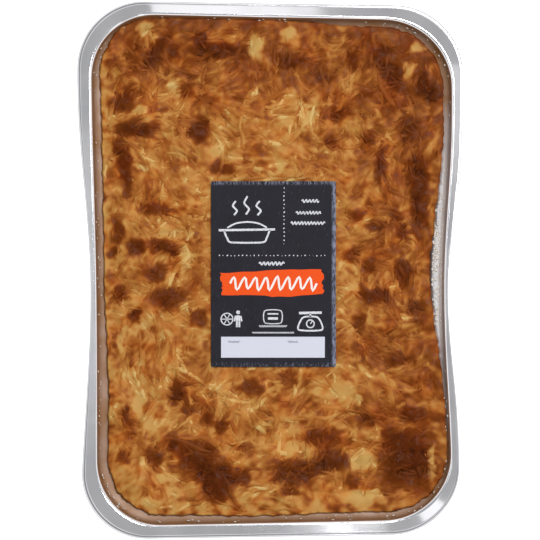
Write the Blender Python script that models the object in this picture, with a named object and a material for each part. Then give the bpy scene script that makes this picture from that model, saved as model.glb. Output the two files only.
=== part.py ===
"""A potato gratin baked in its smooth foil tray, with the printed card label that lies on the crust.

The long side runs along Y, the tray stands on Z = 0, and the origin is under its middle.
All sizes are in metres.
"""

import math
import random

import bmesh
import bpy
from mathutils import Vector, noise

MM = 0.001

# Tray, over its flange and down its wall.
TRAY_WIDTH = 190 * MM
TRAY_LENGTH = 265 * MM
TRAY_HEIGHT = 40 * MM
FOIL = 0.5 * MM
FLANGE = 7.2 * MM
FLANGE_DISH = 0.35 * MM
BEAD_RADIUS = 0.8 * MM
OUTER_CORNER = 33.5 * MM
LIP_CORNER = 29.5 * MM
LIP_HALF_WIDTH = 88.7 * MM
LIP_HALF_LENGTH = 124.6 * MM
BASE_CORNER = 20 * MM

# The foil has been squeezed: both long sides are pinched in a little below the middle,
# and the rim is slightly out of square.
PINCH_Y = -9 * MM
PINCH_END = 22 * MM
PINCH_OUTER = {"left": (5.8 * MM, 1), "right": (6.6 * MM, 2)}
PINCH_LIP = {"left": (2.4 * MM, 1), "right": (4.2 * MM, 2)}
TAPER_ALONG_X = 0.0113
TAPER_ALONG_Y = 0.0104
LEAN_AT_CORNER = 0.43
RIM_WAVE = 0.35 * MM

# Wall of the tray, from the flat base up to the lip: distance in from the lip line, and height.
WALL = [
    (16.0 * MM, 0.5 * MM),
    (12.6 * MM, 1.3 * MM),
    (10.4 * MM, 3.6 * MM),
    (9.4 * MM, 7.5 * MM),
    (5.2 * MM, 31.4 * MM),
    (4.4 * MM, 32.3 * MM),
    (2.3 * MM, 33.1 * MM),
    (1.6 * MM, 34.3 * MM),
    (0.9 * MM, 38.6 * MM),
    (0.3 * MM, 39.7 * MM),
    (-0.5 * MM, 40.0 * MM),
]
LEDGE_INNER = WALL[5]
LEDGE_OUTER = WALL[6]

# Gratin: its level, relief, and the gap to the foil that keeps the two solids apart.
CRUST_LEVEL = 34.6 * MM
EDGE_DROP = 1.5 * MM
EDGE_ROUND = 7 * MM
DOME = 1.0 * MM
LUMP_HEIGHT = 2.3 * MM
LUMP_SPAN = 24 * MM
BLISTER_HEIGHT = 1.7 * MM
BLISTER_SPAN = 11 * MM
GAP = 0.5 * MM
GRID_X = 36
GRID_Y = 50

# How far the baked edge stands in from the lip line, going anticlockwise
# from the middle of the right side in twelve equal turns.
EDGE_INSET = [7.9, 5.4, 4.8, 3.0, 2.2, 3.4, 3.7, 5.6, 4.4, 3.9, 5.6, 5.8]
FOOD_CORNER = 27 * MM

# Shreds of cheese that have melted into the crust.
SHRED_CELLS = (7, 10)
SHRED_RADIUS = 1.1 * MM
SHRED_LENGTH = (14 * MM, 26 * MM)
SHRED_STEPS = 3

# Label.
LABEL_WIDTH = 61.5 * MM
LABEL_LENGTH = 91.5 * MM
LABEL_THICK = 0.5 * MM
LABEL_CORNER = 0.8 * MM
LABEL_CENTRE = (1.7 * MM, -2.0 * MM)
LABEL_GAP = 0.3 * MM
LABEL_PRESS = 12 * MM

ARC_STEPS = 7
LONG_STEPS = 10
SHORT_STEPS = 6


def clear_scene():
    for old in list(bpy.data.objects):
        bpy.data.objects.remove(old)


def material(name, colour, roughness, metallic):
    made = bpy.data.materials.new(name)
    made.use_nodes = True
    shader = made.node_tree.nodes["Principled BSDF"]
    shader.inputs["Base Color"].default_value = (*colour, 1)
    shader.inputs["Roughness"].default_value = roughness
    shader.inputs["Metallic"].default_value = metallic
    return made


def collection(name):
    made = bpy.data.collections.new(name)
    bpy.context.scene.collection.children.link(made)
    return made


def add_object(name, mesh, surface, home):
    made = bpy.data.objects.new(name, mesh)
    home.objects.link(made)
    mesh.materials.clear()
    mesh.materials.append(surface)
    mesh.shade_smooth()
    mesh.set_sharp_from_angle(angle=math.radians(50))
    return made


def clamp(value, low=0.0, high=1.0):
    return max(low, min(high, value))


def ease(value):
    value = clamp(value)
    return value * value * (3 - 2 * value)


def pinched(x, y, half_width, half_length, pinch, share=1.0):
    """Moves a point inwards where the long sides are squeezed, then leans it out of square."""
    reach = half_length - PINCH_END + math.copysign(PINCH_Y, PINCH_Y - y)
    depth, sharpness = pinch["right" if x > 0 else "left"]
    along = math.cos(clamp((y - PINCH_Y) / reach, -1, 1) * math.pi / 2) ** (2 * sharpness)
    x -= share * depth * along * x / half_width
    return Vector(
        (
            x * (1 + TAPER_ALONG_Y * y / (TRAY_LENGTH / 2)),
            y * (1 - TAPER_ALONG_X * x / (TRAY_WIDTH / 2)),
        )
    )


def stations(half_width, half_length, radius):
    """Points round a rounded rectangle, anticlockwise, the same number for every size."""
    corners = [(1, 1), (-1, 1), (-1, -1), (1, -1)]
    arcs = []
    for quarter, (side_x, side_y) in enumerate(corners):
        centre = Vector((side_x * (half_width - radius), side_y * (half_length - radius)))
        turns = [(quarter + step / ARC_STEPS) * math.pi / 2 for step in range(ARC_STEPS + 1)]
        arcs.append([centre + radius * Vector((math.cos(t), math.sin(t))) for t in turns])
    points = []
    for quarter, arc in enumerate(arcs):
        following = arcs[(quarter + 1) % 4][0]
        steps = SHORT_STEPS if quarter % 2 == 0 else LONG_STEPS
        points += arc
        points += [arc[-1].lerp(following, step / steps) for step in range(1, steps)]
    return points


def tray_line(inset, height):
    """One level line of the wall, at a distance in from the lip."""
    half_width = LIP_HALF_WIDTH - inset
    half_length = LIP_HALF_LENGTH - inset
    depth = 1 - height / TRAY_HEIGHT
    radius = LIP_CORNER + (BASE_CORNER - LIP_CORNER) * depth
    flat = stations(half_width, half_length, radius)
    share = 1 - 0.75 * depth
    return [pinched(p.x, p.y, half_width, half_length, PINCH_LIP, share) for p in flat]


def rim_height(point):
    """The rim is never quite level."""
    turn = math.atan2(point.y / TRAY_LENGTH, point.x / TRAY_WIDTH)
    return RIM_WAVE * (math.sin(3 * turn + 0.8) + 0.6 * math.sin(5 * turn + 2.1)) / 1.6 - RIM_WAVE


def wall_ring(inset, height, low_at=30 * MM):
    """A ring of the wall, whose top part follows the waves of the rim."""
    share = clamp((height - low_at) / (TRAY_HEIGHT - low_at))
    return [Vector((p.x, p.y, height + share * rim_height(p))) for p in tray_line(inset, height)]


def flange_rings():
    """The flange, the hem curled under its edge, and the underside back to the wall.

    The foil is as wide everywhere, so it hangs down where the pinch leaves less width in plan.
    """
    lip = wall_ring(*WALL[-1])
    half_width = TRAY_WIDTH / 2 / (1 + TAPER_ALONG_Y * LEAN_AT_CORNER)
    half_length = TRAY_LENGTH / 2 / (1 + TAPER_ALONG_X * LEAN_AT_CORNER)
    outer = stations(half_width, half_length, OUTER_CORNER)
    outer = [pinched(p.x, p.y, half_width, half_length, PINCH_OUTER) for p in outer]
    across = [0.25, 0.55, 1.0]
    curl = [math.radians(turn) for turn in (60, 120, 180)]
    top = [[] for _ in across]
    hem_out = [[] for _ in curl]
    hem_in = [[] for _ in curl]
    under = [[] for _ in across]
    for start, end in zip(lip, outer):
        plan = Vector((end.x - start.x, end.y - start.y, 0))
        width = plan.length
        drop = math.sqrt(max(0.0, FLANGE**2 - width**2))
        out = (plan - Vector((0, 0, drop))).normalized()
        normal = Vector((drop * plan.x / width, drop * plan.y / width, width)).normalized()
        reach = Vector((plan.x, plan.y, -drop)).length - BEAD_RADIUS
        for ring, low, share in zip(top, under, across):
            dish = normal * (FLANGE_DISH * math.sin(share * math.pi))
            ring.append(start + out * (reach * share) - dish)
            low.append(start + out * (reach * share) - dish - normal * FOIL)
        centre = start + out * reach - normal * BEAD_RADIUS
        for ring, inner, turn in zip(hem_out, hem_in, curl):
            arm = normal * math.cos(turn) + out * math.sin(turn)
            ring.append(centre + arm * BEAD_RADIUS)
            inner.append(centre + arm * (BEAD_RADIUS - FOIL))
    return top + hem_out + hem_in[::-1] + under[::-1]


def loft(name, rings, surface, home):
    """Joins rings of equal length into one closed body, with a flat face over each end."""
    shape = bmesh.new()
    loops = [[shape.verts.new(point) for point in ring] for ring in rings]
    for low, high in zip(loops, loops[1:]):
        for i in range(len(low)):
            j = (i + 1) % len(low)
            shape.faces.new((low[i], low[j], high[j], high[i]))
    shape.faces.new(loops[0][::-1])
    shape.faces.new(loops[-1])
    bmesh.ops.recalc_face_normals(shape, faces=shape.faces)
    mesh = bpy.data.meshes.new(name)
    shape.to_mesh(mesh)
    shape.free()
    return add_object(name, mesh, surface, home)


def make_tray(home):
    """Smooth foil tray: inner wall, lip, flange with its hem, and outer wall, as one thin body."""
    surface = material("foil", (0.72, 0.72, 0.73), 0.28, 1.0)
    inner = [wall_ring(inset, height) for inset, height in WALL]
    outer = [wall_ring(inset - FOIL, height) for inset, height in WALL[3:9]][::-1]
    outer += [wall_ring(inset - 0.7 * FOIL, height - 0.6 * FOIL) for inset, height in WALL[1:3]][::-1]
    outer.append(wall_ring(WALL[0][0], 0.0))
    return loft("foil_tray", inner + flange_rings() + outer, surface, home)


def edge_inset(x, y):
    """Distance from the lip line to the baked edge, in the direction of a point."""
    turn = math.atan2(y / LIP_HALF_LENGTH, x / LIP_HALF_WIDTH) / math.tau * len(EDGE_INSET)
    first = math.floor(turn)
    share = ease(turn - first)
    here = EDGE_INSET[first % len(EDGE_INSET)]
    following = EDGE_INSET[(first + 1) % len(EDGE_INSET)]
    return (here + (following - here) * share) * MM


def on_outline(x, y, inset, radius, half_width=LIP_HALF_WIDTH, half_length=LIP_HALF_LENGTH):
    """Takes a point of the square field -1..1 to its place inside the rounded, pinched outline."""
    size = max(abs(x), abs(y))
    if size < 1e-9:
        return Vector((0.0, 0.0))
    wide = (half_width - inset) * size
    long = (half_length - inset) * size
    bend = radius * size
    px = x / size * wide
    py = y / size * long
    over_x = abs(px) - (wide - bend)
    over_y = abs(py) - (long - bend)
    if over_x > 0 and over_y > 0:
        reach = math.hypot(over_x, over_y)
        px = math.copysign(wide - bend + bend * over_x / reach, px)
        py = math.copysign(long - bend + bend * over_y / reach, py)
    return pinched(px, py, half_width - inset, half_length - inset, PINCH_LIP)


def near_label(x, y):
    """1 under the label, falling to 0 a little way outside it."""
    beyond_x = abs(x - LABEL_CENTRE[0]) - LABEL_WIDTH / 2
    beyond_y = abs(y - LABEL_CENTRE[1]) - LABEL_LENGTH / 2
    beyond = math.hypot(max(0.0, beyond_x), max(0.0, beyond_y))
    return 1 - ease(beyond / LABEL_PRESS)


def relief(x, y):
    """Potato slices under the crust, and the blisters of the browned cheese."""
    lump = noise.noise(Vector((x / LUMP_SPAN, y / LUMP_SPAN, 3.7)))
    blister = noise.noise(Vector((x / BLISTER_SPAN, y / BLISTER_SPAN, 9.1)))
    fine = noise.noise(Vector((2.2 * x / BLISTER_SPAN, 2.2 * y / BLISTER_SPAN, 5.3)))
    height = LUMP_HEIGHT * lump + BLISTER_HEIGHT * (abs(blister) * 2 - 0.5) + 0.5 * BLISTER_HEIGHT * fine
    return height * (1 - 0.8 * near_label(x, y))


def crust_height(x, y):
    """Height of the crust's top above the table."""
    rim_x = abs(x) / (LIP_HALF_WIDTH - 4 * MM)
    rim_y = abs(y) / (LIP_HALF_LENGTH - 4 * MM)
    middle = (1 - clamp(rim_x) ** 4) * (1 - clamp(rim_y) ** 4)
    return CRUST_LEVEL + DOME * middle + relief(x, y)


def edge_height(x, y):
    """Height of the crust's outermost line: clear above the ledge where it covers the ledge."""
    cover = clamp((LEDGE_INNER[0] + GAP - edge_inset(x, y)) / (2 * MM))
    low = 32.9 * MM + 0.3 * relief(x, y)
    high = max(LEDGE_OUTER[1] + GAP + 0.9 * MM, CRUST_LEVEL - EDGE_DROP + 0.5 * relief(x, y))
    return low + (high - low) * ease(cover)


def food_rings():
    """The gratin's side, from its crust down to the base, as functions of a place on the outline.

    Each takes a point of the square's border and gives the point of that ring.
    """
    side_top = LEDGE_INNER[0] + 0.8 * MM + GAP

    def under_edge(u, v):
        flat = on_outline(u, v, 4 * MM, FOOD_CORNER)
        inset = min(side_top, edge_inset(*flat) + 0.5 * MM)
        rise = (side_top - inset) / (side_top - LEDGE_OUTER[0])
        point = on_outline(u, v, inset, LIP_CORNER - inset * 0.5)
        low = 31.7 * MM
        return Vector((*point, low + (LEDGE_OUTER[1] + GAP - low) * ease(3 * rise)))

    def beside_ledge(u, v):
        flat = on_outline(u, v, 4 * MM, FOOD_CORNER)
        cover = clamp((side_top - edge_inset(*flat)) / (1.5 * MM))
        point = on_outline(u, v, side_top, LIP_CORNER - side_top * 0.5)
        return Vector((*point, 31.0 * MM + 1.75 * MM * ease(cover)))

    def down_wall(inset, height):
        depth = 1 - height / TRAY_HEIGHT
        radius = LIP_CORNER + (BASE_CORNER - LIP_CORNER) * depth

        def ring(u, v):
            half_width = LIP_HALF_WIDTH - inset
            half_length = LIP_HALF_LENGTH - inset
            flat = square_to_outline(u, v, half_width, half_length, radius)
            share = 1 - 0.75 * depth
            point = pinched(flat.x, flat.y, half_width, half_length, PINCH_LIP, share)
            return Vector((*point, height))

        return ring

    lower = [
        down_wall(WALL[4][0] + GAP, WALL[4][1] - 2 * MM),
        down_wall(WALL[3][0] + GAP, WALL[3][1]),
        down_wall(WALL[1][0] + 1.6 * MM, WALL[1][1] + 0.9 * MM),
        down_wall(WALL[0][0] + 1.5 * MM, WALL[0][1] + GAP),
    ]
    return [under_edge, beside_ledge] + lower


def square_to_outline(u, v, wide, long, bend):
    """A point of the square's border, taken to a rounded rectangle."""
    px, py = u * wide, v * long
    over_x = abs(px) - (wide - bend)
    over_y = abs(py) - (long - bend)
    if over_x > 0 and over_y > 0:
        reach = math.hypot(over_x, over_y)
        px = math.copysign(wide - bend + bend * over_x / reach, px)
        py = math.copysign(long - bend + bend * over_y / reach, py)
    return Vector((px, py))


def crust_point(u, v):
    """Place of a point of the crust's field: rounded down towards the baked edge."""
    rough = on_outline(u, v, 4 * MM, FOOD_CORNER)
    inset = edge_inset(*rough)
    flat = on_outline(u, v, inset, FOOD_CORNER)
    size = max(abs(u), abs(v))
    from_edge = (1 - size) * (LIP_HALF_WIDTH - inset)
    share = ease(from_edge / EDGE_ROUND) if size < 1 else 0.0
    low = edge_height(*flat)
    return Vector((*flat, low + (crust_height(*flat) - low) * share))


def make_core(surface, home):
    """The gratin without its shreds: a field of relief, with its border drawn down the wall."""
    shape = bmesh.new()
    bmesh.ops.create_grid(shape, x_segments=GRID_X, y_segments=GRID_Y, size=1)
    field = {vert: (vert.co.x, vert.co.y) for vert in shape.verts}
    for vert, (u, v) in field.items():
        vert.co = crust_point(u, v)
    border = [edge for edge in shape.edges if edge.is_boundary]
    for ring in food_rings():
        grown = bmesh.ops.extrude_edge_only(shape, edges=border)["geom"]
        border = [item for item in grown if isinstance(item, bmesh.types.BMEdge) and item.is_boundary]
        verts = {vert for edge in border for vert in edge.verts}
        for vert in verts:
            above = next(e.other_vert(vert) for e in vert.link_edges if e.other_vert(vert) not in verts)
            field[vert] = field[above]
        for vert in verts:
            vert.co = ring(*field[vert])
    bmesh.ops.holes_fill(shape, edges=border, sides=0)
    bmesh.ops.recalc_face_normals(shape, faces=shape.faces)
    mesh = bpy.data.meshes.new("gratin")
    shape.to_mesh(mesh)
    shape.free()
    return add_object("gratin", mesh, surface, home)


def shred_path(draw, centre_x, centre_y):
    """A gently bent line on the crust, or nothing where it would leave it or lie under the label."""
    length = draw.uniform(*SHRED_LENGTH)
    heading = draw.uniform(0, math.pi)
    bend = draw.uniform(-1.1, 1.1)
    x = centre_x - math.cos(heading + bend / 2) * length / 2
    y = centre_y - math.sin(heading + bend / 2) * length / 2
    points = []
    for step in range(SHRED_STEPS + 1):
        points.append((x, y))
        heading += bend / SHRED_STEPS
        x += math.cos(heading) * length / SHRED_STEPS
        y += math.sin(heading) * length / SHRED_STEPS
    corner_room = LIP_HALF_WIDTH + LIP_HALF_LENGTH - 42 * MM
    inside = all(
        abs(x) < LIP_HALF_WIDTH - 14 * MM
        and abs(y) < LIP_HALF_LENGTH - 13 * MM
        and abs(x) + abs(y) < corner_room
        and near_label(x, y) < 0.7
        for x, y in points
    )
    return points if inside else None


def shred_paths():
    """One shred in each cell of a loose grid over the crust."""
    draw = random.Random(21)
    across, along = SHRED_CELLS
    wide = 2 * (LIP_HALF_WIDTH - 10 * MM) / across
    long = 2 * (LIP_HALF_LENGTH - 10 * MM) / along
    paths = []
    for column in range(across):
        for row in range(along):
            for _ in range(6):
                x = (column + draw.uniform(0.2, 0.8) - across / 2) * wide
                y = (row + draw.uniform(0.2, 0.8) - along / 2) * long
                path = shred_path(draw, x, y)
                if path:
                    paths.append(path)
                    break
    return paths


def make_shred(path, name, home):
    """One melted shred: a tapering tube along its path, half sunk in the crust."""
    curve = bpy.data.curves.new(name, "CURVE")
    curve.dimensions = "3D"
    curve.bevel_depth = SHRED_RADIUS
    curve.bevel_resolution = 0
    curve.use_fill_caps = True
    spline = curve.splines.new("POLY")
    spline.points.add(len(path) - 1)
    for i, (x, y) in enumerate(path):
        spline.points[i].co = (x, y, crust_height(x, y) + 0.15 * MM, 1)
        spline.points[i].radius = 0.6 if i in (0, len(path) - 1) else 1.0
    tube = bpy.data.objects.new(name, curve)
    home.objects.link(tube)
    mesh = bpy.data.meshes.new_from_object(tube.evaluated_get(bpy.context.evaluated_depsgraph_get()))
    shape = bmesh.new()
    shape.from_mesh(mesh)
    bmesh.ops.remove_doubles(shape, verts=shape.verts, dist=0.01 * MM)
    bmesh.ops.recalc_face_normals(shape, faces=shape.faces)
    shape.to_mesh(mesh)
    shape.free()
    solid = bpy.data.objects.new(name + "_solid", mesh)
    solid.matrix_world = tube.matrix_world
    home.objects.link(solid)
    bpy.data.objects.remove(tube)


def keep_largest(mesh):
    """Drops the scraps that a shred leaves where it only grazes the crust, and fills sealed hollows."""
    shape = bmesh.new()
    shape.from_mesh(mesh)
    left = set(shape.verts)
    bodies = []
    while left:
        body = set()
        edge_of_body = [left.pop()]
        while edge_of_body:
            vert = edge_of_body.pop()
            body.add(vert)
            near = [edge.other_vert(vert) for edge in vert.link_edges]
            edge_of_body += [other for other in near if other in left]
            left.difference_update(near)
        bodies.append(body)
    largest = max(bodies, key=len)
    scraps = [vert for vert in shape.verts if vert not in largest]
    bmesh.ops.delete(shape, geom=scraps, context="VERTS")
    shape.to_mesh(mesh)
    shape.free()


def make_gratin(home):
    """The baked gratin with its shreds of cheese fused on."""
    surface = material("crust", (0.50, 0.21, 0.05), 0.45, 0.0)
    core = make_core(surface, home)
    shreds = collection("cheese_shreds")
    for number, path in enumerate(shred_paths()):
        make_shred(path, f"shred_{number}", shreds)
    join = core.modifiers.new("shreds", "BOOLEAN")
    join.operation = "UNION"
    join.operand_type = "COLLECTION"
    join.collection = shreds
    join.solver = "MANIFOLD"
    bpy.context.view_layer.update()
    joined = bpy.data.meshes.new_from_object(core.evaluated_get(bpy.context.evaluated_depsgraph_get()))
    core.modifiers.clear()
    keep_largest(joined)
    core.data = joined
    joined.materials.clear()
    joined.materials.append(surface)
    for shred in list(shreds.objects):
        bpy.data.objects.remove(shred)
    bpy.data.collections.remove(shreds)
    return core


def make_label(home, gratin):
    """Flat printed card, resting on the highest bumps beneath it."""
    surface = material("printed_card", (0.045, 0.05, 0.07), 0.55, 0.0)
    room = (LABEL_WIDTH / 2 + 1 * MM, LABEL_LENGTH / 2 + 1 * MM)
    under = [
        vert.co.z
        for vert in gratin.data.vertices
        if abs(vert.co.x - LABEL_CENTRE[0]) < room[0] and abs(vert.co.y - LABEL_CENTRE[1]) < room[1]
    ]
    shape = bmesh.new()
    bmesh.ops.create_cube(shape, size=1)
    bmesh.ops.scale(shape, verts=shape.verts, vec=(LABEL_WIDTH, LABEL_LENGTH, LABEL_THICK))
    upright = [edge for edge in shape.edges if abs(edge.verts[0].co.z - edge.verts[1].co.z) > LABEL_THICK / 2]
    bmesh.ops.bevel(shape, geom=upright, offset=LABEL_CORNER, segments=4, profile=0.5, affect="EDGES")
    mesh = bpy.data.meshes.new("label")
    shape.to_mesh(mesh)
    shape.free()
    label = add_object("label", mesh, surface, home)
    label.location = (*LABEL_CENTRE, max(under) + LABEL_GAP + LABEL_THICK / 2)
    return label


def main():
    clear_scene()
    home = collection("potato_gratin")
    make_tray(home)
    gratin = make_gratin(home)
    make_label(home, gratin)


main()
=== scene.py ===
# Potato gratin in a foil tray, dressed for its picture.
# Lengths are in metres, and mm turns millimetres into them.

import math

import bmesh
import bpy
import numpy as np
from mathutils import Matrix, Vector, noise
from mathutils.bvhtree import BVHTree


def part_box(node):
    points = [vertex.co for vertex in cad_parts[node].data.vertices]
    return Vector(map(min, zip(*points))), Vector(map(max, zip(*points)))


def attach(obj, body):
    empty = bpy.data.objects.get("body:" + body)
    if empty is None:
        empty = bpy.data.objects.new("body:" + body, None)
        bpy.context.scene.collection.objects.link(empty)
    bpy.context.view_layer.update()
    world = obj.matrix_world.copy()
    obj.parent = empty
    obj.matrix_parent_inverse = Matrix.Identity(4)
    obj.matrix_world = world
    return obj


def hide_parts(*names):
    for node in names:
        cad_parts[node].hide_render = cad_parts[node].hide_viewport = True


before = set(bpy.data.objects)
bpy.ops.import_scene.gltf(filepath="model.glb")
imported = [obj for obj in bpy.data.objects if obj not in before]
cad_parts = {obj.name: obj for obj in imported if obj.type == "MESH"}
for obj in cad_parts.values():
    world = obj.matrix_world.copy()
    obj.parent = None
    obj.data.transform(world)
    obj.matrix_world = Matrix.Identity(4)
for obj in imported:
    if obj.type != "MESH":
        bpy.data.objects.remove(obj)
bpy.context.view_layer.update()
mm = 0.001

# Camera, light and floor

studio = {
    "cameraAboveRim": 1300 * mm,
    "frameAtRim": 265.5 * mm,      # what the picture's side spans at the rim
    "sensor": 36.0,
    "floorSize": 6.0,
    "floorTone": 0.90,
    "floorGlow": 1.0,              # the floor is a light table
    "sky": [                       # how far up or down it is (0 below, 0.5 level, 1 above) and how bright
        (0.0, 0.42), (0.48, 0.45), (0.515, 1.15), (0.72, 1.15), (0.75, 0.46), (1.0, 0.42),
    ],
    "keyPlace": (0.39, 0.46, 1.65),
    "keyPower": 26.0,
    "keySize": 0.6,
    "brightness": 1.33,            # light on a flat face: colours picked on screen are divided by it
    "bounceStrips": {              # place, width, length and power of the strips that the rim mirrors
        "topStrip": ((-0.024, 0.86, 0.83), 0.12, 0.62, 0.17),
        "bottomStrip": ((0.090, -0.86, 0.83), 0.020, 0.60, 0.12),
        "leftStrip": ((-0.83, -0.02, 0.83), 0.22, 0.50, 0.06),
        "rightStrip": ((0.83, 0.225, 0.83), 0.35, 0.50, 0.15),
        "cornerStrip": ((0.52, -0.66, 0.85), 0.26, 0.40, 0.24),
        "ledgeStrip": ((-0.55, 0.0, 1.24), 0.24, 0.34, 0.28),
    },
}


# A soft panel of light that faces the tray.
def aimedLight(name, place, width, length, power):
    lamp = bpy.data.lights.new(name, "AREA")
    lamp.shape = "RECTANGLE"
    lamp.size = width
    lamp.size_y = length
    lamp.energy = power
    holder = bpy.data.objects.new(name, lamp)
    bpy.context.scene.collection.objects.link(holder)
    holder.location = place
    holder.rotation_euler = (-Vector(place)).to_track_quat("-Z", "Y").to_euler()
    holder.visible_camera = False


def setCamera():
    height = studio["cameraAboveRim"]
    lens = bpy.data.cameras.new("overhead")
    lens.sensor_width = studio["sensor"]
    lens.lens = studio["sensor"] * height / studio["frameAtRim"]
    camera = bpy.data.objects.new("overhead", lens)
    bpy.context.scene.collection.objects.link(camera)
    camera.location = (0, 0, height + tray["height"])
    bpy.context.scene.camera = camera
    bpy.context.scene.view_settings.view_transform = "Standard"


def setSky():
    sky = bpy.data.worlds.new("lightTent")
    sky.use_nodes = True
    links = sky.node_tree.links
    nodes = sky.node_tree.nodes
    direction = nodes.new("ShaderNodeTexCoord")
    parts = nodes.new("ShaderNodeSeparateXYZ")
    ramp = nodes.new("ShaderNodeValToRGB")
    glow = nodes["Background"]
    links.new(direction.outputs["Generated"], parts.inputs[0])
    upward = nodes.new("ShaderNodeMath")
    upward.operation = "MULTIPLY_ADD"
    upward.inputs[1].default_value = 0.5
    upward.inputs[2].default_value = 0.5
    links.new(parts.outputs["Z"], upward.inputs[0])
    links.new(upward.outputs[0], ramp.inputs["Fac"])
    links.new(ramp.outputs["Color"], glow.inputs["Color"])
    while len(ramp.color_ramp.elements) < len(studio["sky"]):
        ramp.color_ramp.elements.new(0.5)
    for element, (position, bright) in zip(ramp.color_ramp.elements, studio["sky"]):
        element.position = position
        element.color = (bright, bright, bright * 1.01, 1)
    bpy.context.scene.world = sky


def setFloor():
    shape = bmesh.new()
    bmesh.ops.create_grid(shape, x_segments=1, y_segments=1, size=studio["floorSize"] / 2)
    bmesh.ops.translate(shape, verts=shape.verts, vec=(0, 0, -0.3 * mm))
    paper = newMaterial("whitePaper", (studio["floorTone"],) * 3, 0.7)
    glow = paper.node_tree.nodes["Principled BSDF"]
    glow.inputs["Emission Color"].default_value = (1, 1, 1, 1)
    glow.inputs["Emission Strength"].default_value = studio["floorGlow"]
    floor = finishPiece("floor", shape, paper)
    floor.visible_glossy = False   # the pinched rim would mirror it as a white glare


# Small helpers

def clamp(value, low=0.0, high=1.0):
    return max(low, min(high, value))


def ease(value):
    value = clamp(value)
    return value * value * (3 - 2 * value)


def easeMany(values):
    values = np.clip(values, 0, 1)
    return values * values * (3 - 2 * values)


def newMaterial(name, colour, roughness, metallic=0.0):
    made = bpy.data.materials.new(name)
    made.use_nodes = True
    shader = made.node_tree.nodes["Principled BSDF"]
    shader.inputs["Base Color"].default_value = (*colour, 1)
    shader.inputs["Roughness"].default_value = roughness
    shader.inputs["Metallic"].default_value = metallic
    return made


# Turns a bmesh into an object of that name and colour.
def finishPiece(name, shape, surface, smooth=True):
    mesh = bpy.data.meshes.new(name)
    shape.to_mesh(mesh)
    shape.free()
    mesh.materials.append(surface)
    if smooth:
        mesh.shade_smooth()
    piece = bpy.data.objects.new(name, mesh)
    bpy.context.scene.collection.objects.link(piece)
    return piece


# A colour picked on screen, 0 to 255, as the linear one that shaders take.
def srgb(red, green, blue):
    values = [channel / 255 for channel in (red, green, blue)]
    return tuple(v / 12.92 if v <= 0.04045 else ((v + 0.055) / 1.055) ** 2.4 for v in values)


# The colour that a face needs to look like the one picked on screen in this light.
def lit(red, green, blue, gloss=0.004):
    return tuple(max(0.001, channel - gloss) / studio["brightness"] for channel in srgb(red, green, blue))


# Short ways to add and join shader nodes.
class Nodes:
    def __init__(self, surface):
        self.tree = surface.node_tree
        self.shader = self.tree.nodes["Principled BSDF"]

    def add(self, kind, **inputs):
        node = self.tree.nodes.new(kind)
        for name, value in inputs.items():
            self.put(node.inputs[name.replace("_", " ")], value)
        return node

    def put(self, socket, value):
        if isinstance(value, bpy.types.NodeSocket):
            self.tree.links.new(value, socket)
        else:
            socket.default_value = value

    def place(self):
        return self.add("ShaderNodeTexCoord").outputs["Object"]

    def axis(self, where, letter):
        return self.add("ShaderNodeSeparateXYZ", Vector=where).outputs[letter]

    def attribute(self, name):
        node = self.tree.nodes.new("ShaderNodeAttribute")
        node.attribute_name = name
        return node.outputs["Fac"]

    def speckle(self, where, scale, detail=2.0, roughness=0.5, distortion=0.0):
        node = self.add("ShaderNodeTexNoise", Vector=where, Scale=scale, Detail=detail)
        node.inputs["Roughness"].default_value = roughness
        node.inputs["Distortion"].default_value = distortion
        return node.outputs["Fac"]

    def stretched(self, where, scale):
        node = self.add("ShaderNodeMapping", Vector=where)
        node.inputs["Scale"].default_value = scale
        return node.outputs["Vector"]

    def maths(self, kind, first, second, third=None, clampIt=False):
        node = self.tree.nodes.new("ShaderNodeMath")
        node.operation = kind
        node.use_clamp = clampIt
        self.put(node.inputs[0], first)
        self.put(node.inputs[1], second)
        if third is not None:
            self.put(node.inputs[2], third)
        return node.outputs[0]

    def spread(self, value, fromLow, fromHigh, toLow, toHigh):
        node = self.add("ShaderNodeMapRange", Value=value)
        names = ("From Min", "From Max", "To Min", "To Max")
        for name, number in zip(names, (fromLow, fromHigh, toLow, toHigh)):
            node.inputs[name].default_value = number
        return node.outputs["Result"]

    def ramp(self, value, stops):
        node = self.add("ShaderNodeValToRGB", Fac=value)
        elements = node.color_ramp.elements
        while len(elements) < len(stops):
            elements.new(0.5)
        for element, (place, colour) in zip(elements, stops):
            element.position = place
            element.color = (*colour, 1)
        return node.outputs["Color"]

    def blend(self, share, first, second, kind="MIX"):
        node = self.tree.nodes.new("ShaderNodeMix")
        node.data_type = "RGBA"
        node.blend_type = kind
        self.put(node.inputs["Factor"], share)
        for socket, value in ((node.inputs[6], first), (node.inputs[7], second)):
            self.put(socket, (*value, 1) if isinstance(value, tuple) else value)
        return node.outputs[2]

    def bump(self, height, strength, distance, before=None):
        node = self.add("ShaderNodeBump", Height=height)
        node.inputs["Strength"].default_value = strength
        node.inputs["Distance"].default_value = distance
        if before is not None:
            self.put(node.inputs["Normal"], before)
        return node.outputs["Normal"]

    def give(self, **inputs):
        for name, value in inputs.items():
            self.put(self.shader.inputs[name.replace("_", " ")], value)


# Pulls a border out by one ring. spot holds each vertex's own place along the border.
def pullRing(shape, border, spot, pointOf):
    grown = bmesh.ops.extrude_edge_only(shape, edges=border)["geom"]
    fresh = {item for item in grown if isinstance(item, bmesh.types.BMVert)}
    for vert in fresh:
        linked = [edge.other_vert(vert) for edge in vert.link_edges]
        before = next(other for other in linked if other not in fresh)
        spot[vert] = spot[before]
    for vert in fresh:
        vert.co = pointOf(spot[vert])
    edges = [item for item in grown if isinstance(item, bmesh.types.BMEdge)]
    return [edge for edge in edges if edge.verts[0] in fresh and edge.verts[1] in fresh]


# Foil tray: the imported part's outline and section, with finer steps

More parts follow.
